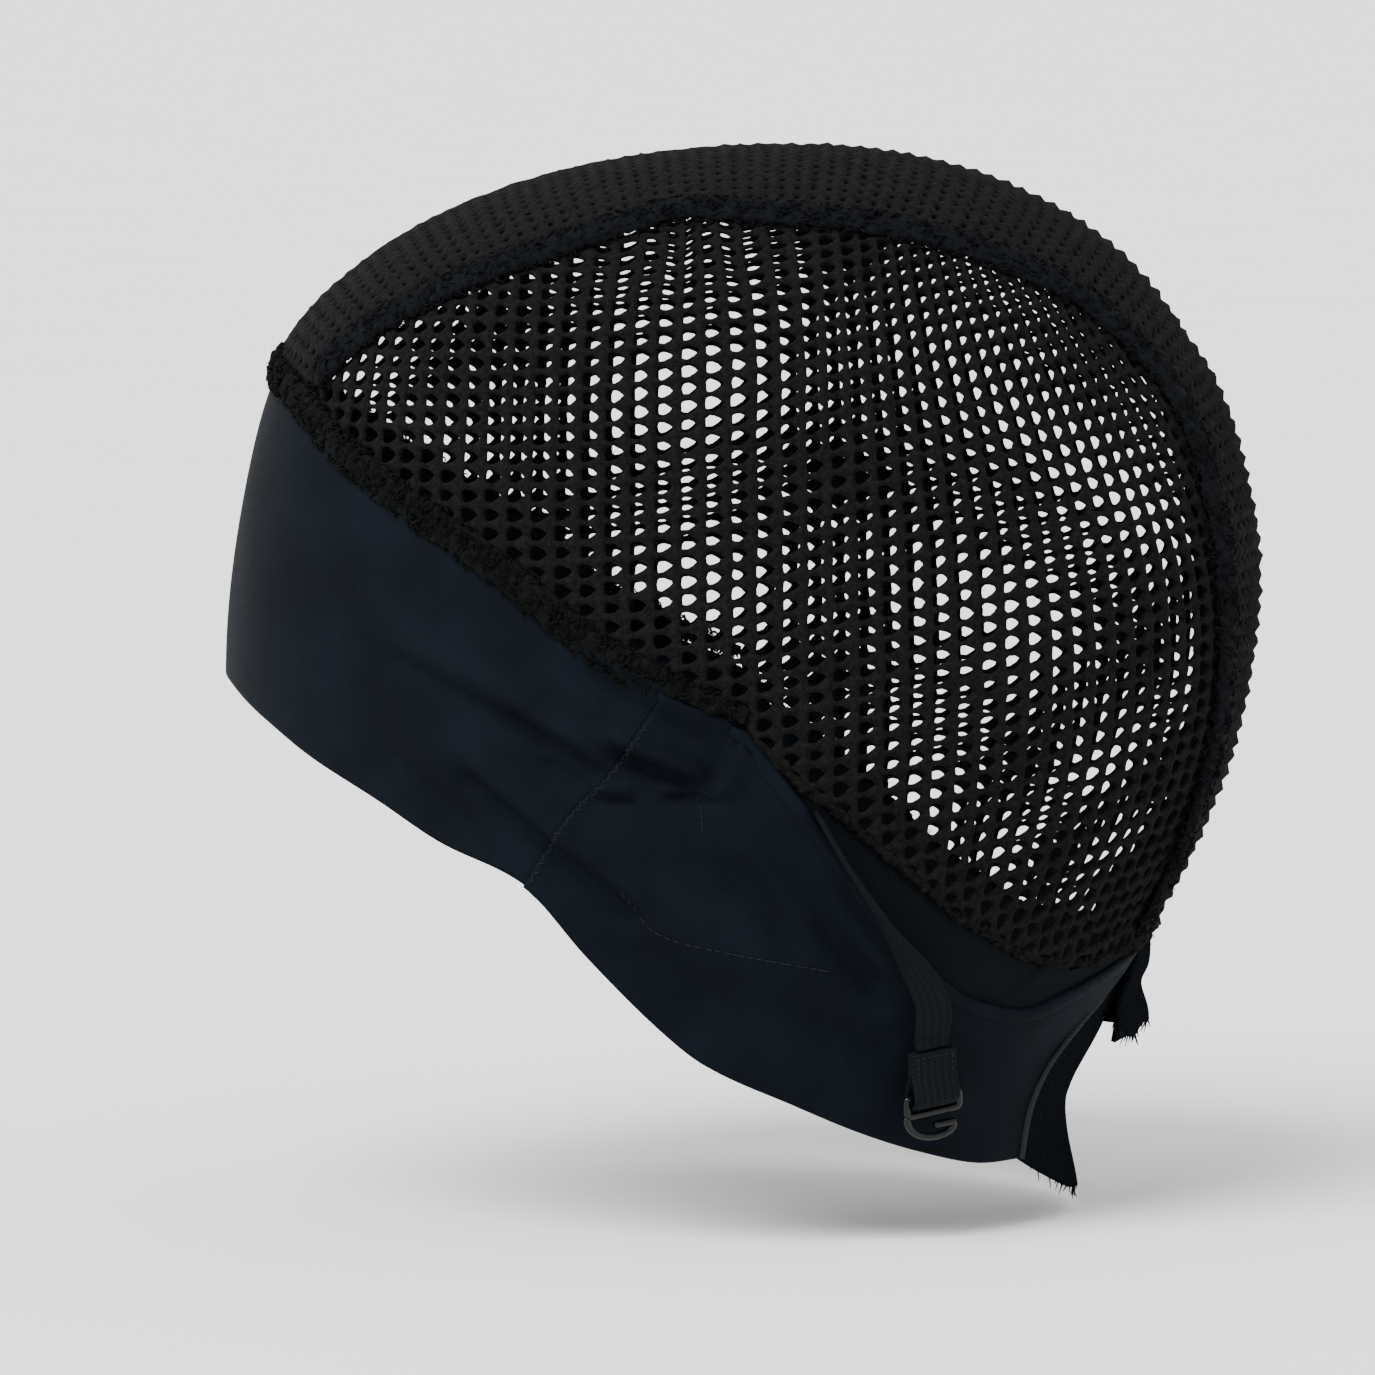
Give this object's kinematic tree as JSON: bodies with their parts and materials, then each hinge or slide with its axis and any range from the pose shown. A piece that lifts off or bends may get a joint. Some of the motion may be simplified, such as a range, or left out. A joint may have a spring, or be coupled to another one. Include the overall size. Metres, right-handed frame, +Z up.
{
  "type": "wig cap",
  "caption": "Stretch net wig cap with a smooth front band, ear panels, elastic straps with small hooks and a velvet nape panel.",
  "frame": {"origin": "inside of the crown's top, where the cap sits on a head", "axes": "+Z up, -Y towards the forehead, +X towards the wearer's left"},
  "size_m": [0.1654, 0.192, 0.1937],
  "materials": {
    "net": "coarse knitted net, matt black",
    "seam": "overlocked knit, matt black, fuzzy",
    "smooth_cloth": "smooth stretch jersey, blue-black, slight sheen",
    "elastic": "flat elastic, matt black",
    "webbing": "woven elastic webbing, charcoal",
    "hook": "glossy black",
    "velvet": "short velvet pile, matt black",
    "piping": "narrow light grey cord cloth"
  },
  "bodies": {
    "root": {"crown_centre": "net", "crown_side_left": "net", "crown_side_right": "net", "crown_seam_left": "seam", "crown_seam_right": "seam", "net_hem": "seam", "front_band": "smooth_cloth", "side_panel_left": "smooth_cloth", "side_panel_right": "smooth_cloth", "flap_edge_left": "smooth_cloth", "flap_edge_right": "smooth_cloth", "under_band_left": "elastic", "under_band_right": "elastic", "strap_left": "webbing", "strap_right": "webbing", "strap_fold_left": "webbing", "strap_fold_right": "webbing", "strap_hook_left": "hook", "strap_hook_right": "hook", "nape_piping_left": "piping", "nape_piping_right": "piping", "nape_panel": "velvet", "nape_flap": "velvet"}
  },
  "joints": []
}
